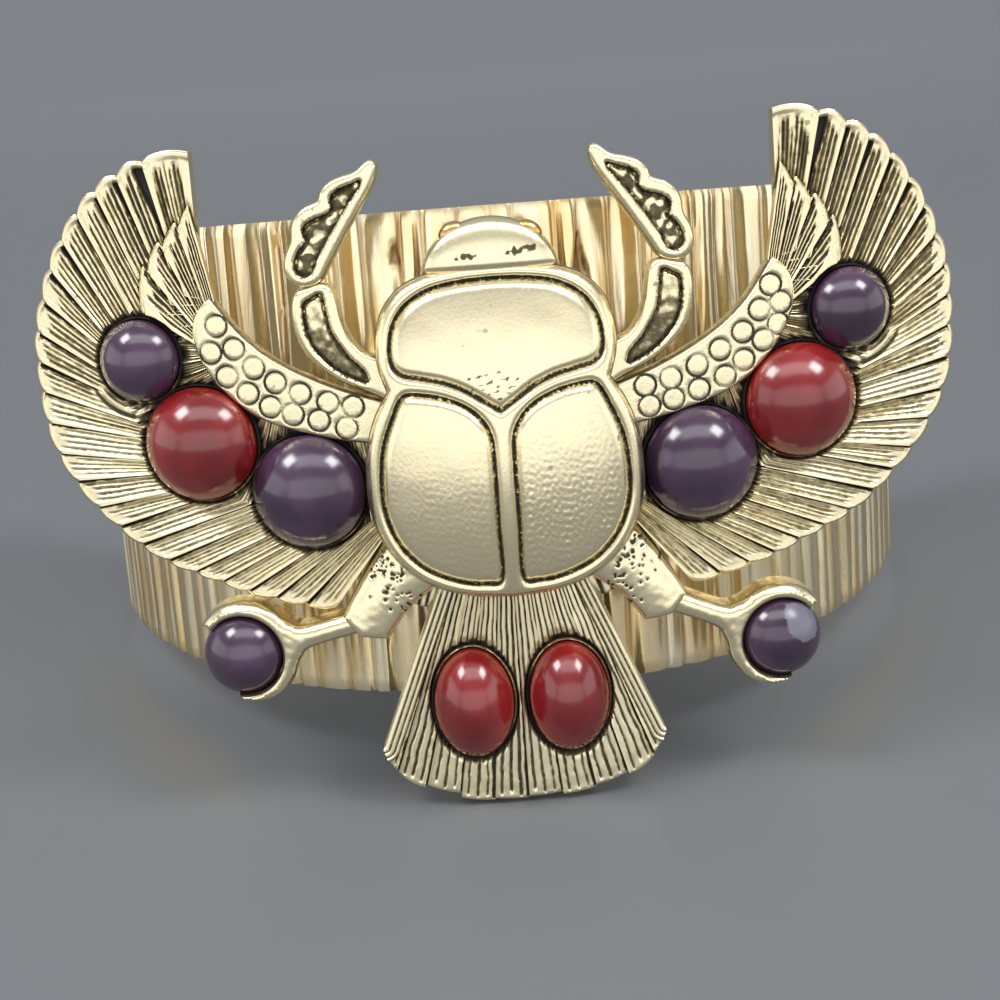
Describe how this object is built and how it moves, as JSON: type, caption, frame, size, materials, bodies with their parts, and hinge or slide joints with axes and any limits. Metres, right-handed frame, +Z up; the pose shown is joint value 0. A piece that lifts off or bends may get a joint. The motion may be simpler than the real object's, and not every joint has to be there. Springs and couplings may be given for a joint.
{
  "type": "scarab bracelet",
  "caption": "Open ribbed cuff bracelet with a cast winged scarab on its front, set with round and oval cabochon stones.",
  "frame": {"origin": "on the surface that the bracelet stands on, under the middle of its outer box", "axes": "+X to the viewer's right along the wings, +Y from the scarab to the open back, +Z up"},
  "size_m": [0.066, 0.0532, 0.0416],
  "materials": {
    "cast_gold": "antiqued pale gold plate, polished high spots and black patina in the grooves",
    "band_gold": "bright gold plate with uneven upright ribs",
    "solder": "plain dull solder",
    "purple_stone": "polished opaque purple cabochon",
    "red_stone": "polished opaque red cabochon"
  },
  "bodies": {
    "root": {"cuff_band": "band_gold", "scarab_plaque": "cast_gold", "solder_pad_upper": "solder", "solder_pad_lower": "solder", "wing_stone_large_right": "purple_stone", "wing_stone_middle_right": "red_stone", "wing_stone_small_right": "purple_stone", "leg_stone_right": "purple_stone", "tail_stone_right": "red_stone", "wing_stone_large_left": "purple_stone", "wing_stone_middle_left": "red_stone", "wing_stone_small_left": "purple_stone", "leg_stone_left": "purple_stone", "tail_stone_left": "red_stone"}
  },
  "joints": []
}
